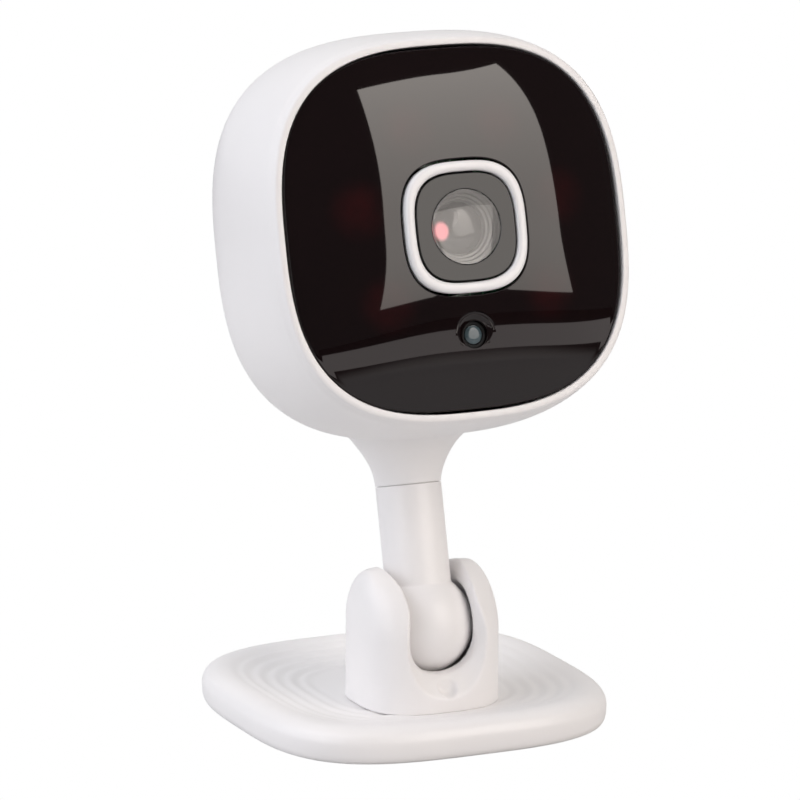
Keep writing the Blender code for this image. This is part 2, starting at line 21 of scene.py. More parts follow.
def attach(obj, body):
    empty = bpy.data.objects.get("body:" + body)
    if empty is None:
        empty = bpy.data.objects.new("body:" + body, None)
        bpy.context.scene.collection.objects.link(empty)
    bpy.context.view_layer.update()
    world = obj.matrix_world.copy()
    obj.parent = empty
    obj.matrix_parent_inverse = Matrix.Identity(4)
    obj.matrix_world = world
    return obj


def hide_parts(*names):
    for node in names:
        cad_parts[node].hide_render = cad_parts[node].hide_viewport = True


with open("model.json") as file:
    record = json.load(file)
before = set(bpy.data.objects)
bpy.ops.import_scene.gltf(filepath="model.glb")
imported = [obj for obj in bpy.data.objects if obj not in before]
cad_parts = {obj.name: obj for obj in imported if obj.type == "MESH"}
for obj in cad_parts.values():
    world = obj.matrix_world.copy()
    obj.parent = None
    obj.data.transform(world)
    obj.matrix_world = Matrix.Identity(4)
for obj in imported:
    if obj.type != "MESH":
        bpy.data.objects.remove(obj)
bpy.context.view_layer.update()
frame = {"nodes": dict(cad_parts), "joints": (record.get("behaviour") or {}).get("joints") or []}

MM = 0.001
HEAD_CENTRE = 55.34        # up the stem's axis from the tilt axis
NECK_JOINT = 20.15         # where the neck starts above the stem, along the same axis
PORT_SPOT = (0.0, -12.0)   # openings in the back, across and above the head's centre
RESET_SPOT = (9.5, -12.0)
GRILLE_SPOT = (0.0, 7.0)
Array = np.ndarray
Profile = Sequence[tuple[float, float]]
Socket = bpy.types.NodeSocket
log = logging.getLogger("camera")


class Axis(Enum):
    """The axis that a ring's station runs along."""

    X = "X"
    Y = "Y"
    Z = "Z"


class Body(Enum):
    """The moving bodies of the frame."""

    ROOT = "root"
    ARM = "arm"
    HEAD = "head"
    RESET = "reset_button"


# ---------------------------------------------------------------- places


@dataclass(frozen=True)
class Place:
    """A local millimetre frame: its origin in metres and how far it leans back, in radians."""

    origin: tuple[float, float, float] = (0.0, 0.0, 0.0)
    lean: float = 0.0

    def to_world(self, points: Array) -> Array:
        """Turn local millimetre points into metres in the row frame.

        Args:
            points: array of shape (n, 3).

        Returns:
            The points, leant back about X and moved to the origin, in metres.
        """
        cosine, sine = math.cos(self.lean), math.sin(self.lean)
        turn = np.array([[1.0, 0.0, 0.0], [0.0, cosine, sine], [0.0, -sine, cosine]])
        return points * MM @ turn.T + np.array(self.origin)

    def along(self, distance: float) -> Place:
        """Return the same frame with its origin moved up its own Z axis, in millimetres."""
        moved = self.to_world(np.array([[0.0, 0.0, distance]]))[0]
        return Place(tuple(float(value) for value in moved), self.lean)


def joint(name: str) -> dict:
    """Return the frame's joint of that name."""
    return next(entry for entry in frame["joints"] if entry["name"] == name)


def rest_places() -> tuple[Place, Place]:
    """Work out where the hinge is and how the stem leans at rest.

    Returns:
        The bracket's upright frame on the tilt axis, and the leaning frame of the stem and head.
    """
    origin = tuple(joint("tilt")["pos_m"])
    axis = joint("pan")["axis"]
    return Place(origin), Place(origin, math.atan2(axis[1], axis[2]))


# ---------------------------------------------------------------- surfaces


def reach(angle: Array, power: Array | float) -> Array:
    """Polar radius of the unit superellipse |u|^n + |v|^n = 1: (|cos|^n + |sin|^n)^(-1/n)."""
    return (np.abs(np.cos(angle)) ** power + np.abs(np.sin(angle)) ** power) ** (-1.0 / power)


def squareness(u: Array, v: Array, power: float) -> Array:
    """Half width of the superellipse through (u, v): (|u|^n + |v|^n)^(1/n)."""
    return (np.abs(u) ** power + np.abs(v) ** power) ** (1.0 / power)


def smooth_curve(points: Profile, steps: int = 8) -> Array:
    """Carry a Catmull-Rom curve through points.

    Each span is the cubic with the points as its ends and half the chord between neighbours as its slopes.

    Args:
        points: (station, half width) pairs.
        steps: points on each span.

    Returns:
        Array of shape (n, 2).
    """
    given = np.array(points, float)
    padded = np.vstack([2 * given[0] - given[1], given, 2 * given[-1] - given[-2]])
    t = np.linspace(0.0, 1.0, steps, endpoint=False)[None, :, None]
    before, start, end, after = (padded[i:len(padded) - 3 + i, None, :] for i in range(4))
    curve = 0.5 * (2 * start + (end - before) * t + (2 * before - 5 * start + 4 * end - after) * t**2
                   + (3 * start - before - 3 * end + after) * t**3)
    return np.vstack([curve.reshape(-1, 2), given[-1:]])


def fillet(points: Sequence[tuple[float, float, float]], steps: int = 5) -> Array:
    """Round the corners of a broken line.

    A corner with radius r is replaced by the quadratic curve between the points r away on both sides of it,
    or at most 0.45 of each side away.

    Args:
        points: (station, half width, radius) for each corner.
        steps: spans on each rounded corner.

    Returns:
        Array of shape (n, 2).
    """
    given = np.array(points, float)
    t = np.linspace(0.0, 1.0, steps + 1)[:, None]
    rows = []
    for number, (*corner, radius) in enumerate(given):
        spot = np.array(corner)
        if radius <= 0.0 or number in (0, len(given) - 1):
            rows.append(spot[None])
            continue
        arms = [given[other, :2] - spot for other in (number - 1, number + 1)]
        ends = [spot + arm * min(radius / np.linalg.norm(arm), 0.45) for arm in arms]
        rows.append((1 - t) ** 2 * ends[0] + 2 * t * (1 - t) * spot + t**2 * ends[1])
    return np.vstack(rows)


def loft(profile: Array, power: Array | float = 2.0, axis: Axis = Axis.Y, count: int = 96,
         centre: tuple[float, float] = (0.0, 0.0)) -> Array:
    """Carry a superellipse outline along a profile.

    The point at angle a and station s is (half(s) * reach(a) * cos a, half(s) * reach(a) * sin a).

    Args:
        profile: (station, half width) rows, or (station, half u, half v).
        power: the outline's squareness, one value or one for each row.
        axis: the axis that the station runs along.
        count: points round the outline.
        centre: where the outline's middle is, across the axis.

    Returns:
        Array of shape (rows, count, 3).
    """
    rows = np.array(profile, float)
    angle = np.linspace(0.0, 2.0 * math.pi, count, endpoint=False)[None, :]
    spread = reach(angle, np.reshape(power, (-1, 1)) if np.ndim(power) else power)
    u = rows[:, 1:2] * spread * np.cos(angle) + centre[0]
    v = rows[:, -1:] * spread * np.sin(angle) + centre[1]
    station = np.broadcast_to(rows[:, :1], u.shape)
    stacks = {Axis.X: (station, u, v), Axis.Y: (u, station, v), Axis.Z: (u, v, station)}
    return np.stack(stacks[axis], axis=2)


# ---------------------------------------------------------------- meshes


@dataclass
class Skin:
    """Vertices in millimetres and faces of a closed surface, gathered shell by shell."""

    points: list[Array] = field(default_factory=list)
    faces: list[list[int]] = field(default_factory=list)

    def add(self, rings: Array, hoop: bool = False) -> Skin:
        """Add one shell: rings of points joined row to row.

        Args:
            rings: array of shape (rows, columns, 3), closed round each ring.
            hoop: join the last ring to the first; otherwise both ends are closed by a fan.

        Returns:
            This skin.
        """
        start = sum(len(block) for block in self.points)
        rows, columns = rings.shape[:2]
        index = start + np.arange(rows * columns).reshape(rows, columns)
        below = index if hoop else index[:-1]
        above = np.roll(index, -1, axis=0) if hoop else index[1:]
        quads = np.stack([below, np.roll(below, -1, axis=1), np.roll(above, -1, axis=1), above], axis=2)
        self.points.append(rings.reshape(-1, 3))
        self.faces += quads.reshape(-1, 4).tolist()
        if not hoop:
            for ring, pole in ((index[0], start + rows * columns), (index[-1], start + rows * columns + 1)):
                fan = np.stack([ring, np.roll(ring, -1), np.full_like(ring, pole)], axis=1)
                self.faces += fan.tolist()
            self.points.append(np.stack([rings[0].mean(axis=0), rings[-1].mean(axis=0)]))
        return self


def solid(profile: Array | Profile, power: Array | float = 2.0, axis: Axis = Axis.Y, count: int = 96,
          centre: tuple[float, float] = (0.0, 0.0), hoop: bool = False) -> Skin:
    """Return the closed shell of one loft; the arguments are those of loft and Skin.add."""
    return Skin().add(loft(profile, power, axis, count, centre), hoop)


def new_object(name: str, points: Array, faces: Sequence[Sequence[int]]) -> bpy.types.Object:
    """Make an object and link it to the scene.

    Args:
        name: the name of the object and its mesh.
        points: array of shape (n, 3), in metres.
        faces: point numbers round each face.

    Returns:
        The new object, at the origin.
    """
    data = bpy.data.meshes.new(name)
    data.from_pydata(points.tolist(), [], faces)
    thing = bpy.data.objects.new(name, data)
    bpy.context.scene.collection.objects.link(thing)
    return thing


@dataclass
class Piece:
    """A finished visible piece: its skin, its place, its finish and the body that it rides on."""

    name: str
    skin: Skin
    place: Place
    finish: Finish
    body: Body
    stands_for: tuple[str, ...] = ()
    slot: str = ""
    sharp: float = 38.0

    def mesh(self) -> bpy.types.Object:
        """Make the object, closed and with its faces outwards.

        Returns:
            The new object, at the origin, with its place in its mesh.
        """
        thing = new_object(self.name, self.place.to_world(np.vstack(self.skin.points)), self.skin.faces)
        face_outwards(thing.data)
        thing.data.materials.append(self.finish.material())
        shade(thing, self.sharp)
        return thing

    def finish_up(self, thing: bpy.types.Object) -> bpy.types.Object:
        """Put the piece on its body, hide the nodes that it stands for, and report it."""
        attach(thing, self.body.value)
        if self.stands_for:
            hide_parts(*self.stands_for)
        log.info("%-22s %6d faces, rides on %s", self.name, len(thing.data.polygons), self.body.value)
        return thing

    def build(self, *cuts: Cut, remesh: float = 0.0, relax: int = 0) -> bpy.types.Object:
        """Make the piece, cut it, soften it and put it on its body.

        Args:
            cuts: solids to take away.
            remesh: voxel size in millimetres for a softened moulding, or 0 to keep the grid.
            relax: smoothing passes after the remesh.

        Returns:
            The finished object.
        """
        thing = self.mesh()
        for cut in cuts:
            cut.apply(thing, self.place)
        if remesh:
            voxel = thing.modifiers.new("even_skin", "REMESH")
            voxel.mode, voxel.voxel_size, voxel.use_smooth_shade = "VOXEL", remesh * MM, True
            soften = thing.modifiers.new("moulded_edges", "SMOOTH")
            soften.factor, soften.iterations = 0.5, relax
        if cuts or remesh:
            settle(thing)
            shade(thing, 180.0 if remesh else self.sharp)
        return self.finish_up(thing)


@dataclass
class Cut:
    """A solid that is taken away from a piece."""

    skin: Skin

    def apply(self, thing: bpy.types.Object, place: Place) -> None:
        """Add the Boolean to a piece and settle it into the mesh.

        Args:
            thing: the piece.
            place: the piece's local frame, which the solid shares.
        """
        tool = new_object("cutter", place.to_world(np.vstack(self.skin.points)), self.skin.faces)
        data = tool.data
        face_outwards(data)
        boolean = thing.modifiers.new("cut", "BOOLEAN")
        boolean.operation, boolean.solver, boolean.object = "DIFFERENCE", "EXACT", tool
        settle(thing)
        bpy.data.objects.remove(tool)
        bpy.data.meshes.remove(data)


def face_outwards(data: bpy.types.Mesh) -> None:
    """Turn every face of a closed mesh outwards."""
    shape = bmesh.new()
    shape.from_mesh(data)
    bmesh.ops.recalc_face_normals(shape, faces=shape.faces)
    shape.to_mesh(data)
    shape.free()


def settle(thing: bpy.types.Object) -> None:
    """Write an object's modifiers into its mesh and clear them."""
    bpy.context.view_layer.update()
    graph = bpy.context.evaluated_depsgraph_get()
    settled = bpy.data.meshes.new_from_object(thing.evaluated_get(graph))
    old = thing.data
    thing.modifiers.clear()
    thing.data = settled
    settled.name = old.name
    bpy.data.meshes.remove(old)


def shade(thing: bpy.types.Object, sharp: float) -> None:
    """Shade smooth, with edges over the given angle in degrees kept sharp."""
    thing.data.shade_smooth()
    if sharp < 180.0:
        thing.data.set_sharp_from_angle(angle=math.radians(sharp))


# ---------------------------------------------------------------- finishes


def linear(code: str) -> tuple[float, float, float, float]:
    """Turn an sRGB hex colour into linear red, green, blue and alpha.

    Args:
        code: six hex digits after a hash.

    Returns:
        Four values from 0 to 1.
    """
    parts = [int(code[i:i + 2], 16) / 255.0 for i in (1, 3, 5)]
    return tuple(c / 12.92 if c <= 0.04045 else ((c + 0.055) / 1.055) ** 2.4 for c in parts) + (1.0,)


def per_metre(size: float) -> float:
    """Pattern scale on Object coordinates whose features are this many millimetres across."""
    return 1.0 / (size * MM)


def add_node(tree: bpy.types.NodeTree, kind: str, settings: dict | None = None,
             links: dict | None = None) -> bpy.types.Node:
    """Add a node with its settings and links.

    Args:
        tree: the node tree.
        kind: the node's type name.
        settings: values by the name of an attribute or the name or number of an input.
        links: output sockets by the name or number of the input that they go into.

    Returns:
        The new node.
    """
    node = tree.nodes.new(kind)
    for key, value in (settings or {}).items():
        if isinstance(key, str) and hasattr(node, key):
            setattr(node, key, value)
        else:
            node.inputs[key].default_value = value
    for key, socket in (links or {}).items():
        tree.links.new(socket, node.inputs[key])
    return node


def clear_tree(owner: bpy.types.Material | bpy.types.World) -> bpy.types.NodeTree:
    """Switch on the nodes of a material or a world, and return its tree emptied."""
    owner.use_nodes = True
    owner.node_tree.nodes.clear()
    return owner.node_tree


def object_place(tree: bpy.types.NodeTree) -> Socket:
    """Return the place on the object, which every pattern is laid by."""
    return add_node(tree, "ShaderNodeTexCoord").outputs["Object"]


def noise(tree: bpy.types.NodeTree, place: Socket, size: float, detail: float = 2.0,
          harshness: float = 0.5) -> Socket:
    """Return soft noise from 0 to 1 whose features are this many millimetres across."""
    return add_node(tree, "ShaderNodeTexNoise", {"Scale": per_metre(size), "Detail": detail,
                                                 "Roughness": harshness}, {"Vector": place}).outputs[0]


def stretch(tree: bpy.types.NodeTree, share: Socket, low: float, high: float) -> Socket:
    """Return a value that runs from low to high as the share runs from 0 to 1."""
    return add_node(tree, "ShaderNodeMapRange", {"To Min": low, "To Max": high}, {0: share}).outputs[0]


def soft_step(tree: bpy.types.NodeTree, value: Socket, start: float, end: float) -> Socket:
    """Return a smooth step: 0 where the value is at the start, 1 where it is at the end."""
    return add_node(tree, "ShaderNodeMapRange", {"interpolation_type": "SMOOTHSTEP", "From Min": start,
                                                 "From Max": end}, {0: value}).outputs[0]


def blend(tree: bpy.types.NodeTree, low: str, high: str, share: Socket) -> Socket:
    """Return the mix of two sRGB colours by a share."""
    return add_node(tree, "ShaderNodeMix", {"data_type": "RGBA", 6: linear(low), 7: linear(high)},
                    {0: share}).outputs[2]


def bumps(tree: bpy.types.NodeTree, height: Socket, depth: float, strength: float = 0.5) -> Socket:
    """Return a normal for a relief of this many millimetres."""
    return add_node(tree, "ShaderNodeBump", {"Distance": depth * MM, "Strength": strength},
                    {"Height": height}).outputs[0]


@dataclass(frozen=True)
class Finish:
    """A real material and how its surface was made."""

    name: str
    colour: str
    second: str
    roughness: float
    grain: float = 0.35
    relief: float = 0.006
    metallic: float = 0.0
    ior: float = 1.5
    coat: float = 0.0
    cloud: float = 9.0

    def material(self) -> bpy.types.Material:
        """Return the material, making it on first use."""
        found = bpy.data.materials.get(self.name)
        if found is not None:
            return found
        made = bpy.data.materials.new(self.name)
        tree = clear_tree(made)
        shader = self.shade(tree)
        add_node(tree, "ShaderNodeOutputMaterial", links={"Surface": shader})
        return made

    def shade(self, tree: bpy.types.NodeTree) -> Socket:
        """Lay the finish's nodes: cloudy tone, uneven polish and a fine relief.

        Args:
            tree: the material's empty node tree.

        Returns:
            The shader socket.
        """
        place = object_place(tree)
        tone = blend(tree, self.colour, self.second, noise(tree, place, self.cloud, 3.0))
        pits = noise(tree, place, self.grain, 4.0, 0.6)
        polish = stretch(tree, pits, self.roughness * 0.85, self.roughness * 1.15)
        shader = add_node(tree, "ShaderNodeBsdfPrincipled",
                          {"Metallic": self.metallic, "IOR": self.ior, "Coat Weight": self.coat,
                           "Coat Roughness": 0.08},
                          {"Base Color": tone, "Roughness": polish,
                           "Normal": bumps(tree, pits, self.relief, 0.6)})
        return shader.outputs[0]


@dataclass(frozen=True)
class Glass(Finish):
    """Clear moulded or ground glass: almost no grain, light goes through."""

    def shade(self, tree: bpy.types.NodeTree) -> Socket:
        """Lay a clear shader with a faint haze that varies over the surface."""
        haze = noise(tree, object_place(tree), self.grain, 3.0)
        shader = add_node(tree, "ShaderNodeBsdfPrincipled",
                          {"Base Color": linear(self.colour), "IOR": self.ior, "Transmission Weight": 1.0},
                          {"Roughness": stretch(tree, haze, self.roughness * 0.5, self.roughness * 1.5)})
        return shader.outputs[0]


@dataclass(frozen=True)
class DarkAcrylic(Finish):
    """Infrared-passing acrylic: near black, with a painted dull red glow over each of the lamps behind it."""

    lamps: tuple[tuple[float, float, float], ...] = ()
    # painted glow of the lamps behind: its colour, and where it starts and is full, in millimetres from a
    # lamp
    glow: str = "#300e10"
    glow_edge: float = 5.2
    glow_core: float = 1.2
    mottle: float = 3.2
    cloud: float = 14.0
    ripple: float = 11.0

    def shade(self, tree: bpy.types.NodeTree) -> Socket:
        """Lay a polished shader with a painted, mottled red-brown glow of each lamp mixed into its colour.

        A lamp's share rises smoothly from its glow's edge to its core, by the distance from the lamp.

        Args:
            tree: the material's empty node tree.

        Returns:
            The shader socket.
        """
        place = object_place(tree)
        total = None
        for lamp in self.lamps:
            gap = add_node(tree, "ShaderNodeVectorMath", {"operation": "DISTANCE", 1: lamp}, {0: place})
            rise = soft_step(tree, gap.outputs["Value"], self.glow_edge * MM, self.glow_core * MM)
            if total is None:
                total = rise
            else:
                total = add_node(tree, "ShaderNodeMath", {"operation": "ADD", "use_clamp": True},
                                 {0: total, 1: rise}).outputs[0]
        uneven = add_node(tree, "ShaderNodeMath", {"operation": "MULTIPLY"},
                          {0: total, 1: noise(tree, place, self.mottle, 3.0)})
        base = blend(tree, self.colour, self.second, noise(tree, place, self.cloud))
        # painted glow: the lamps' dull red mixed into the base colour
        tone = add_node(tree, "ShaderNodeMix", {"data_type": "RGBA", 7: linear(self.glow)},
                        {0: uneven.outputs[0], 6: base})
        ripple = noise(tree, place, self.ripple, 1.0)
        shader = add_node(tree, "ShaderNodeBsdfPrincipled", {"Roughness": self.roughness, "IOR": self.ior},
                          {"Base Color": tone.outputs[2], "Normal": bumps(tree, ripple, self.relief)})
        return shader.outputs[0]


@dataclass(frozen=True)
class CoatedGlass(Finish):
    """Ground lens, anti-reflection coated: dark, with a painted pink reflection of the light on its left."""

    # centre, size and tint of the painted pink reflection, which the shader gives off as emission
    painted_glint_centre: tuple[float, float, float] = (0.0, 0.0, 0.0)
    painted_glint_size: tuple[float, float, float] = (0.85, 2.5, 1.3)
    painted_glint_tint: str = "#eb8d93"

    def shade(self, tree: bpy.types.NodeTree) -> Socket:
        """Lay a polished dark shader that gives off a painted pink reflection in a soft ellipsoid about its
        centre.
        """
        place = object_place(tree)
        scale = tuple(per_metre(size) for size in self.painted_glint_size)
        centre = tuple(value * factor for value, factor in zip(self.painted_glint_centre, scale))
        squeezed = add_node(tree, "ShaderNodeVectorMath", {"operation": "MULTIPLY", 1: scale}, {0: place})
        gap = add_node(tree, "ShaderNodeVectorMath", {"operation": "DISTANCE", 1: centre},
                       {0: squeezed.outputs[0]})
        # painted reflection: pink emission that fades out towards the ellipsoid's edge
        glow = blend(tree, "#000000", self.painted_glint_tint, soft_step(tree, gap.outputs["Value"], 1.2, 0.6))
        tone = blend(tree, self.colour, self.second, noise(tree, place, self.grain))
        shader = add_node(tree, "ShaderNodeBsdfPrincipled",
                          {"Roughness": self.roughness, "IOR": self.ior, "Emission Strength": 1.0},
                          {"Base Color": tone, "Emission Color": glow})
        return shader.outputs[0]


@dataclass(frozen=True)
class CircuitBoard(Finish):
    """Solder-masked glass-epoxy board: green lacquer over copper tracks that run square to each other."""

    edge: str = "#3f8a5a"

    def shade(self, tree: bpy.types.NodeTree) -> Socket:
        """Lay tracks as square cells of two tones, raised a little."""
        tracks = add_node(tree, "ShaderNodeTexBrick",
                          {"Scale": per_metre(4.0), "Mortar Size": 0.03, "Color1": linear(self.colour),
                           "Color2": linear(self.second), "Mortar": linear(self.edge)},
                          {"Vector": object_place(tree)})
        shader = add_node(tree, "ShaderNodeBsdfPrincipled",
                          {"Roughness": self.roughness, "Coat Weight": self.coat},
                          {"Base Color": tracks.outputs["Color"],
                           "Normal": bumps(tree, tracks.outputs["Fac"], self.relief)})
        return shader.outputs[0]


# ABS, injection moulded in a fine-blasted tool: satin white, soft highlights
SATIN_ABS = Finish("abs_moulded_satin_white", "#f1efef", "#eeecec", 0.36, grain=0.3, relief=0.004, ior=1.53)
# ABS from a polished cavity: whiter and glossier, sharp highlights on the rounded ring
GLOSS_ABS = Finish("abs_moulded_polished_white", "#f3f2f3", "#efedee", 0.16, grain=0.6, relief=0.001,
                   ior=1.53)
# black ABS of the inner mouldings: dull, finely grained
BLACK_ABS = Finish("abs_moulded_black", "#1b1b1c", "#222224", 0.42, grain=0.25, relief=0.005)
# printed glossy mask round the lens: deep black under a clear lacquer
MASK_PRINT = Finish("acrylic_printed_gloss_black", "#050505", "#070707", 0.035, grain=4.0, relief=0.0003,
                    ior=1.49)
# lens cell: anodised and blackened, with fine turned lines read as soft grey rings
CELL_BLACK = Finish("aluminium_turned_dark_grey", "#4d4d4c", "#5a5958", 0.3, grain=0.2, relief=0.003)
STEEL = Finish("steel_zinc_plated", "#9a9ca0", "#a9aaad", 0.28, grain=0.25, relief=0.003, metallic=1.0)
BRASS = Finish("brass_turned", "#c79a50", "#d0a760", 0.25, grain=0.2, relief=0.002, metallic=1.0)
ALUMINIUM = Finish("aluminium_pressed", "#bdbec2", "#cccdd0", 0.32, grain=0.3, relief=0.002, metallic=1.0)
PAD_RUBBER = Finish("silicone_rubber_grey_blue", "#5f6f86", "#6d7c91", 0.7, grain=0.4, relief=0.02, ior=1.41)
SEAL_RUBBER = Finish("rubber_moulded_black", "#121213", "#19191a", 0.75, grain=0.3, relief=0.01, ior=1.45)
LAMP_RESIN = Finish("epoxy_cast_dark_red", "#2a0b10", "#35101a", 0.1, grain=1.0, relief=0.001, ior=1.55)
CLEAR_GLASS = Glass("glass_ground_clear", "#ffffff", "#ffffff", 0.01, grain=2.0)
# light sensor's window: smoky clear resin over a pale blue-grey chip
SENSOR_LENS = Finish("acrylic_moulded_smoky", "#3c474b", "#52636a", 0.08, grain=1.1, relief=0.002, ior=1.5)
FILTER_GLASS = Glass("glass_infrared_cut_cyan", "#9fd6dd", "#9fd6dd", 0.01, grain=2.0)
BOARD = CircuitBoard("epoxy_board_green_masked", "#0f4a2c", "#155c37", 0.35, relief=0.01, coat=0.4)

CAD_FINISHES: dict[str, Finish] = {
    "foot_pad": PAD_RUBBER, "ballast_plate": STEEL, "bracket_screw_left": STEEL,
    "bracket_screw_right": STEEL, "hinge_insert": BRASS, "wave_washer_left": STEEL,
    "wave_washer_right": STEEL, "swivel_washer": STEEL, "swivel_screw": STEEL,
    "friction_ring": SEAL_RUBBER, "filter_slide": BLACK_ABS, "ir_cut_glass": FILTER_GLASS,
    "clear_filter_glass": CLEAR_GLASS, "front_frame": BLACK_ABS, "led_board": BOARD,
    "light_sensor": LAMP_RESIN, "lens_baffle": SEAL_RUBBER, "lens_holder": BLACK_ABS,
    "image_sensor": BLACK_ABS, "filter_actuator": BLACK_ABS, "main_board": BOARD, "processor": BLACK_ABS,
    "heat_spreader": ALUMINIUM, "wifi_module": STEEL, "card_socket": STEEL, "usb_socket": STEEL,
    "reset_switch": BLACK_ABS, "speaker": BLACK_ABS, "microphone": ALUMINIUM, "antenna": BOARD,
} | {f"ir_led_{n}": LAMP_RESIN for n in range(1, 7)} | {f"board_screw_{n}": STEEL for n in range(1, 5)}


def dress_frame() -> None:
    """Give each CAD node that stays in view its real finish."""
    for name, finish in CAD_FINISHES.items():
        node = frame["nodes"][name]
        for slot in node.material_slots:
            slot.material = finish.material()
    log.info("%d nodes of the frame dressed", len(CAD_FINISHES))


# ---------------------------------------------------------------- foot


@dataclass
class Foot:
    """Dished rounded-square foot with faint stepped rings that follow its outline."""

    half: float = 26.57
    power: float = 3.24
    rim_z: float = 0.4
    dish_z: float = 4.0
    ring_pitch: float = 2.05
    ring_height: float = 0.068
    rings_from: float = 10.5
    rings_to: float = 23.2
    fade: float = 2.0
    side_z: float = 3.9
    pocket_half: float = 24.2
    pocket_top: float = 2.9

    def top(self) -> Array:
        """Work out the top face's profile.

        The dish is a smooth curve up to the crown. Soft steps are added as a sine of the half width, faded
        in and out at the ends of the ringed band.

        Returns:
            (height, half width) rows from the middle to the edge.
        """
        dish = [(self.dish_z, 0.4), (self.dish_z, 11.5), (4.12, 14.5), (4.42, 17.8), (4.95, 20.6),
                (5.4, 22.4), (5.57, 23.6), (5.42, 24.8), (4.85, 25.85), (4.0, 26.4), (3.1, self.half),
                (1.6, 26.47), (0.75, 26.1), (self.rim_z, 25.5)]
        curve = smooth_curve(dish, 14)
        half = curve[:, 1]
        fade_in = np.clip((half - self.rings_from) / self.fade, 0, 1)
        fade_out = np.clip((self.rings_to - half) / self.fade, 0, 1)
        waves = np.sin(2.0 * math.pi * half / self.ring_pitch)
        curve[:, 0] += self.ring_height * fade_in * fade_out * (curve[:, 0] > self.side_z) * waves
        return curve

    def build(self) -> None:
        """Make the moulded foot, with the pocket under it that holds the ballast and pad."""
        pocket = fillet([(self.rim_z, self.pocket_half + 1.0, 0.0), (self.rim_z, self.pocket_half, 0.3),
                         (self.pocket_top, self.pocket_half, 0.3), (self.pocket_top, 0.5, 0.0)])
        plate = solid(np.vstack([self.top(), pocket]), self.power, Axis.Z, 220)
        Piece("foot_plate", plate, Place(), SATIN_ABS, Body.ROOT, ("base_plate",), "white_abs").build()


# ---------------------------------------------------------------- bracket and stem


@dataclass
class HingeBracket:
    """U-shaped bracket with rounded cheeks, a wide soft lip round its slot, a ball socket and the bolt."""

    hinge: Place
    half_x: float = 10.4
    half_y: float = 9.6
    power: float = 2.8
    foot_z: float = -10.95
    top: float = 8.6
    crest: float = 7.2
    crest_back: float = 0.8
    socket: float = 7.9
    dimple: tuple[float, float] = (0.1, -7.2)
    voxel: float = 0.2
    relax: int = 12

    def body(self) -> Skin:
        """Loft the cheeks: upright sides, then a tombstone top.

        Above the tilt axis the depth shrinks with the cosine of the rise, and the half width runs from the
        full width to the crest with the cosine to the power 0.8.
        """
        rise = np.radians(np.linspace(0.0, 88.5, 26))
        shrink, lift = np.cos(rise), np.sin(rise)
        upper = np.stack([self.top * lift, self.crest + (self.half_x - self.crest) * shrink**0.8,
                          self.half_y * shrink], axis=1)
        lower = np.array([[self.foot_z, self.half_x + 0.15, self.half_y + 0.15],
                          [self.foot_z + 0.6, self.half_x, self.half_y], [-4.0, self.half_x, self.half_y]])
        rings = loft(np.vstack([lower, upper]), self.power, Axis.Z, 120)
        rings[len(lower):, :, 1] += (self.crest_back * lift)[:, None]
        return Skin().add(rings)

    def slot(self) -> Skin:
        """Carry a U outline from front to back: a wide concave lip, the slot, and the rear web's cut.

        The U at each station is a half superellipse with its own half width, depth and squareness, and
        straight sides up.
        """
        stations = np.array([(-12.5, 8.9, 11.3, 2.4), (-9.6, 7.0, 8.8, 2.4), (-8.6, 6.1, 7.5, 2.4),
                             (-8.0, 5.65, 6.6, 2.4), (-7.5, 5.35, 6.0, 2.4), (-7.0, 5.2, 5.7, 2.4),
                             (-6.4, 5.17, 5.65, 2.4), (7.6, 5.17, 5.65, 2.4), (7.65, 5.15, 2.1, 9.0),
                             (14.0, 5.15, 2.1, 9.0)])
        angle = np.linspace(math.pi, 2.0 * math.pi, 49)[None, :]
        spread = reach(angle, stations[:, 3:])
        x = stations[:, 1:2] * spread * np.cos(angle)
        z = stations[:, 2:3] * spread * np.sin(angle)
        flare = np.array([(3.5, 0.0), (5.5, 0.06), (7.0, 0.22), (8.0, 0.5), (8.8, 1.0), (14.0, 1.4)])
        right = np.abs(x[:, -1:]) + flare[None, :, 1]
        x = np.hstack([x, right, -right[:, ::-1]])
        rise = np.broadcast_to(flare[None, :, 0], right.shape)
        z = np.hstack([z, rise, rise[:, ::-1]])
        return Skin().add(np.stack([x, np.broadcast_to(stations[:, :1], x.shape), z], axis=2))

    def ball_room(self) -> Skin:
        """Turn the hollow that the ball sits in: -R cos t along X and R sin t about it, from pole to pole."""
        turn = np.linspace(0.03, math.pi - 0.03, 60)
        profile = np.stack([-self.socket * np.cos(turn), self.socket * np.sin(turn)], axis=1)
        return solid(profile, 2.0, Axis.X)

    def build(self) -> None:
        """Make the bracket and the hinge bolt."""
        bolt_way = fillet([(-8.9, 2.5, 0), (0.0, 2.5, 0), (0.0, 1.85, 0), (8.6, 1.85, 0), (8.6, 3.0, 0),
                           (12.0, 3.2, 0)])
        dimple = solid([(-11.5, 1.5), (-8.6, 1.45), (-8.1, 1.35), (-7.8, 1.1), (-7.7, 0.5)], 2.0, Axis.Y, 32,
                       self.dimple)
        piece = Piece("hinge_cheeks", self.body(), self.hinge, SATIN_ABS, Body.ROOT, ("hinge_bracket",),
                      "white_abs")
        piece.build(Cut(self.slot()), Cut(self.ball_room()), Cut(solid(bolt_way, 2.0, Axis.X, 40)),
                    Cut(dimple), remesh=self.voxel, relax=self.relax)
        head = fillet([(-8.3, 1.2, 0.0), (-8.0, 1.5, 0.1), (8.75, 1.5, 0.0), (8.75, 2.6, 0.15),
                       (9.4, 2.6, 0.5), (9.75, 1.7, 0.3), (9.75, 0.3, 0.0)])
        tool = np.array([(10.4, 0.4, 1.6), (9.0, 0.32, 1.3), (8.6, 0.28, 1.1)])
        cross = [Cut(solid(arm, 8.0, Axis.X, 16)) for arm in (tool, tool[:, [0, 2, 1]])]
        bolt = Piece("hinge_bolt_cross_head", solid(head, 2.0, Axis.X, 48), self.hinge, STEEL, Body.ROOT,
                     ("hinge_bolt",), "steel")
        bolt.build(*cross)


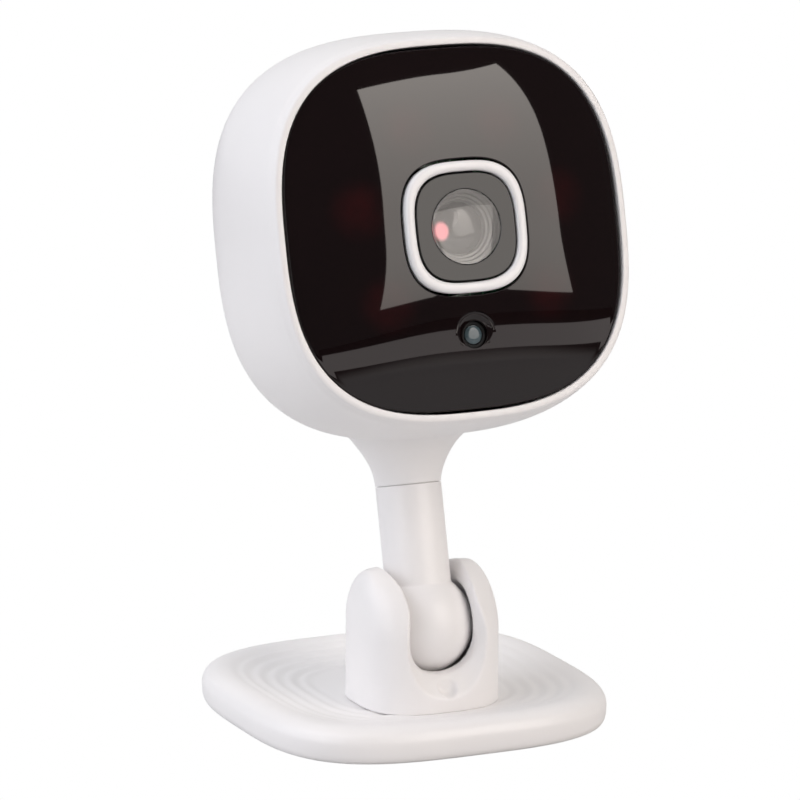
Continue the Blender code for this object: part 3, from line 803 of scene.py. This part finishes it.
@dataclass
class Stem:
    """Round stem moulded in one with the ball knuckle that turns in the bracket."""

    lean: Place
    radius: float = 4.75
    ball: float = 7.3
    seam: float = 20.05
    collar: float = 4.45
    collar_top: float = 20.45
    spigot: float = 3.3
    spigot_top: float = 27.0
    bolt_way: float = 1.85

    def outline(self) -> Array:
        """Profile from the ball's underside to the swivel spigot.

        The ball is (-R cos t, R sin t) up to where it is as wide as the stem, less a short soft shoulder.
        """
        meet = math.pi - math.asin(self.radius / self.ball)
        turn = np.linspace(0.02, meet - 0.05, 90)
        ball = np.stack([-self.ball * np.cos(turn), self.ball * np.sin(turn)], axis=1)
        rise = -self.ball * math.cos(meet)
        stem = fillet([(ball[-1, 0], ball[-1, 1], 0.0), (rise, self.radius, 0.3),
                       (rise + 2.0, self.radius, 0.0), (self.seam, self.radius, 0.12),
                       (self.seam, self.collar, 0.0), (self.collar_top, self.collar, 0.0),
                       (self.collar_top, self.spigot, 0.0), (self.spigot_top - 0.3, self.spigot, 0.0),
                       (self.spigot_top, self.spigot - 0.3, 0.0), (self.spigot_top, 0.3, 0.0)])
        return np.vstack([ball, stem[1:]])

    def build(self) -> None:
        """Make the ball and stem, with the bolt's way through the ball."""
        way = solid([(-8.0, self.bolt_way), (8.0, self.bolt_way)], 2.0, Axis.X, 32)
        skin = solid(self.outline(), 2.0, Axis.Z, 180)
        Piece("stem_and_knuckle", skin, self.lean, SATIN_ABS, Body.ARM, ("stem",), "white_abs",
              sharp=50.0).build(Cut(way))


# ---------------------------------------------------------------- head


@dataclass
class HeadShell:
    """One-piece head shell: flat-sided rounded square with a domed back, open front and flared neck."""

    lean: Place
    centre: float = HEAD_CENTRE
    power: float = 2.82
    half: float = 28.76
    widest_y: float = -11.45
    rim_y: float = -24.6
    rim_half: float = 26.85
    opening: float = 25.85
    back_y: float = 8.95
    back_power: float = 2.5
    wall: float = 1.9
    grille_pitch: float = 3.0
    card_spot: tuple[float, float] = (-2.95, 0.0)

    def back_half(self, y: Array) -> Array:
        """Half width behind the widest section: a superellipse arc that closes at the back."""
        share = np.clip((y - self.widest_y) / (self.back_y - self.widest_y), 0.0, 1.0)
        return self.half * (1.0 - share**self.back_power) ** (1.0 / self.back_power)

    def depth_at(self, x: float, z: float) -> float:
        """Depth of the domed back at a place across it."""
        share = float(squareness(np.array(x), np.array(z), self.power)) / self.half
        return self.widest_y + (1.0 - share**self.back_power) ** (1.0 / self.back_power) * (
            self.back_y - self.widest_y)

    def outer(self) -> Array:
        """Profile of the outside from the rim's inner edge over the sides to the middle of the back."""
        rim = fillet([(-22.0, self.opening, 0.0), (self.rim_y, self.opening, 0.22),
                      (self.rim_y, self.rim_half, 0.5), (self.rim_y + 1.2, self.rim_half + 0.24, 0.0)], 6)
        ahead = np.linspace(self.rim_y + 1.4, self.widest_y, 16)
        share = (self.widest_y - ahead) / (self.widest_y - self.rim_y)
        side = np.stack([ahead, self.half - (self.half - self.rim_half) * share**2], axis=1)
        turn = np.linspace(0.0, math.pi / 2, 46)[1:-1]
        depth = self.widest_y + (self.back_y - self.widest_y) * np.sin(turn) ** (2.0 / self.back_power)
        back = np.stack([depth, self.half * np.cos(turn) ** (2.0 / self.back_power)], axis=1)
        return np.vstack([rim, side, back])

    def inner(self) -> Array:
        """Profile of the inside, one wall thickness in, from the middle of the back to the opening."""
        depth = np.array([6.8, 6.4, 5.0, 3.0, 0.0, -4.0, -8.0, self.widest_y])
        half = np.maximum(self.back_half(depth + 1.2) - self.wall, 2.0)
        return np.vstack([np.stack([depth, half], axis=1), [(-15.0, self.opening), (-20.0, self.opening)]])

    def openings(self) -> list[Cut]:
        """Cuts through the shell: speaker holes, port, reset hole and card slot, each with a broken edge."""
        face = self.depth_at(*PORT_SPOT)
        port = [(2.0, 5.0, 2.1), (face - 0.7, 5.0, 2.1), (face - 0.2, 5.15, 2.25), (face + 0.5, 5.6, 2.7),
                (face + 1.5, 6.6, 3.7)]
        face = self.depth_at(*RESET_SPOT)
        reset = [(2.0, 1.75), (face - 0.5, 1.75), (face - 0.1, 1.9), (face + 1.2, 2.9)]
        card = [(22.0, 1.05, 6.2), (27.9, 1.05, 6.2), (28.35, 1.15, 6.3), (30.0, 1.9, 7.0)]
        return [Cut(self.grille()), Cut(solid(port, 4.0, Axis.Y, 64, PORT_SPOT)),
                Cut(solid(reset, 2.0, Axis.Y, 32, RESET_SPOT)),
                Cut(solid(card, 6.0, Axis.X, 64, self.card_spot))]

    def grille(self) -> Skin:
        """Speaker holes: one in the middle, and rings of 6 and 12 about it."""
        grille = Skin()
        for ring, holes in enumerate((1, 6, 12)):
            for turn in 2.0 * math.pi * np.arange(holes) / holes:
                x = GRILLE_SPOT[0] + self.grille_pitch * ring * math.cos(turn)
                z = GRILLE_SPOT[1] + self.grille_pitch * ring * math.sin(turn)
                face = self.depth_at(x, z)
                bore = [(2.5, 0.7), (face - 0.35, 0.7), (face - 0.12, 0.78), (face + 0.1, 1.0),
                        (face + 1.0, 1.9)]
                grille.add(loft(bore, 2.0, Axis.Y, 20, (x, z)))
        return grille

    def under(self, x: Array, y: Array) -> Array:
        """Height of the head's underside above the tilt axis at a place under it."""
        share = (self.widest_y - y) / (self.widest_y - self.rim_y)
        ahead = self.half - (self.half - self.rim_half) * share**2
        half = np.where(y > self.widest_y, self.back_half(y), ahead)
        across = np.clip(np.abs(x) / half, 0, 1) ** self.power
        return self.centre - half * (1.0 - across) ** (1.0 / self.power)

    def neck(self) -> Skin:
        """Sweep the flared neck from the swivel joint until it lies along the head's underside.

        In each direction the profile is a cubic curve: straight up at the joint, and along the slope of the
        head's underside at its outer end. A short skirt then dips under the head's skin, and a bore goes
        back down inside.

        Returns:
            The neck as one closed shell.
        """
        angle = np.linspace(0.0, 2.0 * math.pi, 160, endpoint=False)
        c, s = np.cos(angle), np.sin(angle)
        out = 12.5 - 2.0 * np.abs(s) - 4.2 * np.clip(s, 0, 1) ** 2
        joint_z, joint_r = NECK_JOINT, 4.75
        foot = np.stack([np.full_like(angle, joint_r), np.full_like(angle, joint_z)], axis=1)
        end_z = self.under(out * c, out * s)
        near_z = self.under((out - 0.4) * c, (out - 0.4) * s)
        slope = np.stack([np.full_like(angle, 0.4), end_z - near_z], axis=1)
        slope /= np.linalg.norm(slope, axis=1)[:, None]
        end = np.stack([out, end_z], axis=1)
        lift = np.stack([np.full_like(angle, 0.1), 2.8 + 0.25 * (end_z - 30.7)], axis=1)
        t = np.linspace(0.0, 1.0, 40)[:, None, None]
        span = 3.0 + 0.25 * np.abs(end_z - 30.7)[:, None]
        sweep = ((1 - t) ** 3 * foot + 3 * t * (1 - t) ** 2 * (foot + lift)
                 + 3 * t**2 * (1 - t) * (end - slope * span) + t**3 * end)
        skirt = np.stack([end + slope * 0.5 + (0.0, 0.35), end * (0.9, 1.0) + (0.0, 1.2)])
        bore = np.array([(5.0, 31.0), (4.8, 27.6), (3.75, 27.3), (3.7, 20.65), (4.58, 20.6),
                         (4.58, joint_z)])
        bore = np.broadcast_to(bore[:, None, :], (len(bore), len(angle), 2))
        edge = np.broadcast_to(np.array([(4.71, joint_z)]), (1, len(angle), 2))
        rows = np.concatenate([sweep, skirt, bore, edge])
        return Skin().add(np.stack([rows[..., 0] * c, rows[..., 0] * s, rows[..., 1]], axis=2), hoop=True)

    def build(self) -> None:
        """Make the shell with its openings, and the neck."""
        middle = self.lean.along(self.centre)
        shell = solid(np.vstack([self.inner(), self.outer()]), self.power, Axis.Y, 180)
        housing = Piece("head_shell", shell, middle, SATIN_ABS, Body.HEAD, ("housing",), "white_abs")
        housing.build(*self.openings())
        Piece("head_neck", self.neck(), self.lean, SATIN_ABS, Body.HEAD, (), "white_abs", sharp=60.0).build()


@dataclass
class FrontCover:
    """Domed infrared-passing cover with the light sensor's window in its countersunk hole."""

    lean: Place
    centre: float = HEAD_CENTRE
    power: float = 2.97
    half: float = 25.5
    edge_y: float = -24.18
    dome: float = 4.4
    dome_power: float = 2.4
    inner_half: float = 9.62
    thickness: float = 1.4
    lamp_circle: float = 15.7
    sensor_drop: float = 15.1
    sensor_side: float = 0.3

    def face(self, half: Array) -> Array:
        """Depth of the domed face: edge - dome * (1 - (half / full half) ^ 2.4)."""
        return self.edge_y - self.dome * (1.0 - (half / self.half) ** self.dome_power)

    def skin(self) -> Skin:
        """Carry the cover's section round: domed face, rounded edge, flat side and domed back."""
        half = np.linspace(self.inner_half + 0.12, self.half - 0.55, 46)
        outside = np.stack([self.face(half), half], axis=1)
        rim = self.half - 0.02
        edge_face = float(self.face(np.array(rim - 0.1)))
        edge = fillet([(outside[-1, 0], outside[-1, 1], 0.0), (edge_face, rim, 0.5),
                       (self.edge_y + 1.6, rim, 0.2), (self.edge_y + 1.6, 23.6, 0.0)], 8)[1:]
        back_half = np.linspace(23.0, self.inner_half, 14)
        back = np.stack([self.face(back_half) + self.thickness, back_half], axis=1)
        lip = np.array([(float(self.face(np.array(self.inner_half))) + 0.12, self.inner_half)])
        return solid(np.vstack([outside, edge, back, lip]), self.power, Axis.Y, 240, hoop=True)

    def finish(self) -> Finish:
        """Return the acrylic, with the six lamps' places in the row frame for its painted glows."""
        angle = np.radians(-90.0 + 360.0 * np.arange(1, 7) / 7.0)
        spots = np.stack([self.lamp_circle * np.cos(angle), np.full(6, -26.5),
                          self.lamp_circle * np.sin(angle)], axis=1)
        lamps = self.lean.along(self.centre).to_world(spots)
        return DarkAcrylic("acrylic_infrared_passing_polished_painted_glow", "#110a0b", "#170d0e", 0.03, relief=0.004,
                           ior=1.49, lamps=tuple(tuple(float(v) for v in lamp) for lamp in lamps))

    def build(self) -> None:
        """Make the cover, and the sensor's collar and window."""
        middle = self.lean.along(self.centre)
        face = float(self.face(np.array(self.sensor_drop)))
        sink = smooth_curve([(-31.0, 4.0), (face - 0.5, 3.3), (face - 0.02, 2.75), (face + 0.2, 2.35),
                             (face + 0.35, 2.0), (face + 0.7, 1.93), (-18.0, 1.93)], 6)
        hole = Cut(solid(sink, 2.0, Axis.Y, 64, (self.sensor_side, -self.sensor_drop)))
        Piece("front_cover", self.skin(), middle, self.finish(), Body.HEAD, ("front_panel",),
              "ir_black_panel", sharp=30.0).build(hole)
        drop = middle.along(-self.sensor_drop)
        aside = (self.sensor_side, 0.0)
        collar = fillet([(face + 2.2, 1.9, 0.0), (face + 0.7, 1.9, 0.1), (face + 0.6, 1.5, 0.1),
                         (face + 1.0, 1.35, 0.0), (face + 2.2, 1.35, 0.0)], 4)
        Piece("sensor_collar", solid(collar, 2.0, Axis.Y, 64, aside, hoop=True), drop, SEAL_RUBBER,
              Body.HEAD, (), "black_rubber").build()
        dome = smooth_curve([(face + 2.2, 1.33), (face + 0.9, 1.33), (face + 0.7, 1.2), (face + 0.55, 0.8),
                             (face + 0.5, 0.1)], 6)
        Piece("sensor_lens", solid(dome, 2.0, Axis.Y, 48, aside), drop, SENSOR_LENS, Body.HEAD,
              ("sensor_window",), "clear_glass").build()


@dataclass
class LensUnit:
    """Polished white ring, glossy mask, clear window, and the lens with its stepped cell behind them."""

    lean: Place
    centre: float = HEAD_CENTRE
    ring_half: float = 9.25
    ring_inner: float = 7.76
    ring_front: float = -29.05
    ring_bulge: float = 0.85
    ring_power: float = 3.05
    mask_y: float = -28.6
    window: float = 5.3
    # centre of the front lens's painted pink reflection, in millimetres
    painted_glint_centre: tuple[float, float, float] = (-2.7, -26.3, -0.3)

    def ring(self) -> Skin:
        """Carry a nearly round section about a rounded square."""
        turn = np.linspace(0.0, 2.0 * math.pi, 40, endpoint=False)
        wide, middle = (self.ring_half - self.ring_inner) / 2.0, (self.ring_half + self.ring_inner) / 2.0
        half = middle + wide * reach(turn, 2.6) * np.cos(turn)
        front = np.sin(turn) * reach(turn, 2.6)
        waist = self.ring_front + self.ring_bulge
        station = np.where(front > 0, self.ring_front + self.ring_bulge * (1.0 - front), waist - 2.0 * front)
        return solid(np.stack([station, half], axis=1), self.ring_power, Axis.Y, 200, hoop=True)

    def mask(self) -> Skin:
        """Blend rows from the round window to the rounded-square edge, flat in front and behind.

        The outline's squareness runs from 2 at the window to 3.1 at the edge.
        """
        outer = self.ring_inner - 0.24
        rows = np.array([(self.mask_y + 0.9, self.window, 2.0), (self.mask_y + 0.08, self.window, 2.0),
                         (self.mask_y, self.window + 0.08, 2.0), (self.mask_y, 6.0, 2.3),
                         (self.mask_y, 6.9, 2.8), (self.mask_y, outer - 0.1, 3.1),
                         (self.mask_y + 0.1, outer, 3.1), (self.mask_y + 0.9, outer, 3.1)])
        return solid(rows[:, :2], rows[:, 2], Axis.Y, 160, hoop=True)

    def build(self) -> None:
        """Make the ring, mask, window, lens cell and lens."""
        middle = self.lean.along(self.centre)
        Piece("lens_ring_polished", self.ring(), middle, GLOSS_ABS, Body.HEAD, ("lens_trim_ring",),
              "white_trim", sharp=60.0).build()
        Piece("lens_mask_gloss", self.mask(), middle, MASK_PRINT, Body.HEAD, ("lens_mask",),
              "grey_mask").build()
        front, glass = self.mask_y + 0.01, self.window - 0.03
        pane = fillet([(self.mask_y + 0.75, 0.3, 0.0), (self.mask_y + 0.75, glass, 0.05),
                       (front, glass, 0.06), (front, 0.3, 0.0)], 3)
        Piece("lens_window_pane", solid(pane), middle, CLEAR_GLASS, Body.HEAD,
              ("lens_window",), "clear_glass").build()
        cell = [(-12.6, 5.9, 0), (-24.6, 5.9, 0), (-24.6, 6.6, 0.2), (-27.2, 6.6, 0.2), (-27.2, 5.3, 0.12),
                (-26.9, 5.2, 0.1), (-26.9, 4.7, 0.1), (-26.5, 4.6, 0.1), (-26.5, 4.2, 0.1),
                (-26.1, 4.1, 0.1), (-26.1, 3.75, 0.1), (-25.5, 3.6, 0.1), (-25.4, 2.9, 0.1), (-12.6, 2.9, 0)]
        Piece("lens_cell_stepped", solid(fillet(cell, 4), hoop=True), middle, CELL_BLACK, Body.HEAD,
              ("lens_barrel",), "dark_plastic").build()
        dome = smooth_curve([(-24.9, 3.45), (-25.55, 3.5), (-25.95, 3.2), (-26.45, 2.4), (-26.8, 1.4),
                             (-26.92, 0.15)], 8)
        # the front lens carries a painted pink reflection of the light
        painted_glint_centre = middle.to_world(np.array([self.painted_glint_centre]))[0]
        coated = CoatedGlass("glass_coated_dark_painted_reflection", "#1c1a1b", "#242122", 0.05, grain=3.0, ior=1.5,
                             painted_glint_centre=tuple(float(value) for value in painted_glint_centre))
        Piece("front_lens_coated", solid(dome), middle, coated, Body.HEAD,
              ("front_lens",), "clear_glass").build()


@dataclass
class ResetButton:
    """Small push button in the back, with a dished cap."""

    lean: Place
    centre: float = HEAD_CENTRE

    def build(self) -> None:
        """Turn the button's stem and cap about its own axis."""
        face = float(HeadShell(self.lean).depth_at(*RESET_SPOT))
        cap = fillet([(-1.4, 0.2, 0.0), (-1.4, 1.4, 0.1), (face - 0.55, 1.4, 0.25), (face - 0.45, 0.9, 0.2),
                      (face - 0.62, 0.15, 0.0)], 5)
        skin = solid(cap, 2.0, Axis.Y, 48, RESET_SPOT)
        Piece("reset_cap", skin, self.lean.along(self.centre), SATIN_ABS, Body.RESET, ("reset_button",),
              "white_abs").build()


# ---------------------------------------------------------------- studio


def bearing(azimuth: Array | float, elevation: Array | float) -> Array:
    """Direction of a bearing in degrees: (sin a cos e, -cos a cos e, sin e)."""
    az, el = np.radians(azimuth), np.radians(elevation)
    return np.stack([np.sin(az) * np.cos(el), -np.cos(az) * np.cos(el), np.sin(el)], axis=-1)


@dataclass(frozen=True)
class Softbox:
    """A light panel given by its corners' bearings from the head, its radiance rising from bottom to top."""

    name: str
    corners: tuple[tuple[float, float], ...]
    distance: float
    radiance: tuple[float, float]
    tint: str = "#ffffff"
    aim: tuple[float, float, float] = (0.0, 0.0, 0.07)

    def build(self) -> None:
        """Make the panel from its lower left corner round to its upper left one, and light it."""
        azimuth, elevation = np.array(self.corners).T
        corners = np.array(self.aim) + bearing(azimuth, elevation) * self.distance
        thing = new_object(self.name, corners, [(0, 1, 2, 3)])
        uv = thing.data.uv_layers.new(name="UVMap")
        uv.data.foreach_set("uv", np.array([0, 0, 1, 0, 1, 1, 0, 1], float))
        made = bpy.data.materials.new(self.name)
        tree = clear_tree(made)
        place = add_node(tree, "ShaderNodeTexCoord").outputs["UV"]
        split = add_node(tree, "ShaderNodeSeparateXYZ", links={0: place})
        glow = add_node(tree, "ShaderNodeEmission", {"Color": linear(self.tint)},
                        {"Strength": stretch(tree, split.outputs["Y"], *self.radiance)})
        add_node(tree, "ShaderNodeOutputMaterial", links={"Surface": glow.outputs[0]})
        thing.data.materials.append(made)
        thing.visible_camera = False


@dataclass
class Studio:
    """Pale floor, soft lights, white surround and the camera."""

    azimuth: float = -24.787
    elevation: float = 13.175
    roll: float = 0.316
    distance: float = 0.9
    aim: tuple[float, float, float] = (-0.00369, -0.0064, 0.04825)
    lens: float = 284.715
    floor_size: float = 4.0
    table_ends: tuple[float, float] = (0.25, 0.36)

    def softboxes(self) -> list[Softbox]:
        """Say where the lights are, by their bearings as seen from the head."""
        key = ((4.5, 4.5), (49.0, 2.0), (47.0, 47.0), (15.0, 48.0))
        edge = ((-35.0, -7.2), (75.0, -7.2), (75.0, -3.6), (-35.0, -3.6))
        left = ((-130.0, -5.0), (-55.0, -5.0), (-55.0, 60.0), (-130.0, 60.0))
        top = ((140.0, 40.0), (220.0, 40.0), (290.0, 72.0), (70.0, 72.0))
        return [Softbox("key_softbox", key, 0.8, (2.7, 5.4), "#fff7f0"),
                Softbox("table_edge", edge, 0.45, (1.3, 1.3), "#fff6f4"),
                Softbox("left_softbox", left, 0.9, (1.6, 2.55), "#f9faff"),
                Softbox("top_softbox", top, 0.9, (1.2, 1.2), "#fdfcfd")]

    def surround(self) -> None:
        """White for the camera; for light and reflections dim ahead of the object and brighter behind it."""
        world = bpy.data.worlds.new("studio_surround")
        bpy.context.scene.world = world
        tree = clear_tree(world)
        ray = add_node(tree, "ShaderNodeLightPath").outputs["Is Camera Ray"]
        way = add_node(tree, "ShaderNodeTexCoord").outputs["Generated"]
        split = add_node(tree, "ShaderNodeSeparateXYZ", links={0: way})
        ahead = add_node(tree, "ShaderNodeMapRange", {"From Min": -0.35, "From Max": 0.25, "To Min": 0.085,
                                                      "To Max": 0.7}, {0: split.outputs["Y"]})
        dim = add_node(tree, "ShaderNodeBackground", links={"Strength": ahead.outputs[0]})
        white = add_node(tree, "ShaderNodeBackground", {"Color": (1.0, 1.0, 1.0, 1.0), "Strength": 1.0})
        both = add_node(tree, "ShaderNodeMixShader", links={0: ray, 1: dim.outputs[0], 2: white.outputs[0]})
        add_node(tree, "ShaderNodeOutputWorld", links={"Surface": both.outputs[0]})

    def floor(self) -> None:
        """Lay the floor: plain white to look at, and for light a pale table that ends all round."""
        half = self.floor_size / 2.0
        corners = np.array([(-half, -half, 0.0), (half, -half, 0.0), (half, half, 0.0), (-half, half, 0.0)])
        thing = new_object("floor", corners, [(0, 1, 2, 3)])
        made = bpy.data.materials.new("floor_paper_matt_white")
        tree = clear_tree(made)
        ray = add_node(tree, "ShaderNodeLightPath").outputs["Is Camera Ray"]
        away = add_node(tree, "ShaderNodeVectorMath", {"operation": "LENGTH"}, {0: object_place(tree)})
        beyond = soft_step(tree, away.outputs["Value"], *self.table_ends)
        matt = add_node(tree, "ShaderNodeBsdfDiffuse", links={"Color": stretch(tree, beyond, 0.64, 0.05)})
        white = add_node(tree, "ShaderNodeEmission", {"Color": (1.0, 1.0, 1.0, 1.0), "Strength": 1.0})
        both = add_node(tree, "ShaderNodeMixShader", links={0: ray, 1: matt.outputs[0], 2: white.outputs[0]})
        add_node(tree, "ShaderNodeOutputMaterial", links={"Surface": both.outputs[0]})
        thing.data.materials.append(made)

    def camera(self) -> None:
        """Place the camera ahead and to the left of the object, a little above it."""
        data = bpy.data.cameras.new("camera_view")
        data.lens, data.sensor_width = self.lens, 36.0
        data.clip_start, data.clip_end = 0.05, 20.0
        thing = bpy.data.objects.new("camera_view", data)
        bpy.context.scene.collection.objects.link(thing)
        back = bearing(self.azimuth, self.elevation)
        az, roll = math.radians(self.azimuth), math.radians(self.roll)
        level = np.array([math.cos(az), math.sin(az), 0.0])
        right = level * math.cos(roll) + np.cross(back, level) * math.sin(roll)
        spot = np.array(self.aim) + back * self.distance
        place = np.eye(4)
        place[:3, :4] = np.stack([right, np.cross(back, right), back, spot], axis=1)
        thing.matrix_world = Matrix(place.tolist())
        bpy.context.scene.camera = thing

    def build(self) -> None:
        """Set up the camera, the surround, the floor and the lights, with plain colour handling."""
        bpy.context.scene.view_settings.view_transform = "Standard"
        self.camera()
        self.surround()
        self.floor()
        for softbox in self.softboxes():
            softbox.build()
        log.info("studio ready")


def main() -> None:
    """Build the camera from the foot up, then the studio."""
    hinge, lean = rest_places()
    dress_frame()
    Foot().build()
    HingeBracket(hinge).build()
    Stem(lean).build()
    HeadShell(lean).build()
    FrontCover(lean).build()
    LensUnit(lean).build()
    ResetButton(lean).build()
    Studio().build()


if __name__ == "__main__":
    logging.basicConfig(level=logging.INFO, format="%(message)s")
    main()
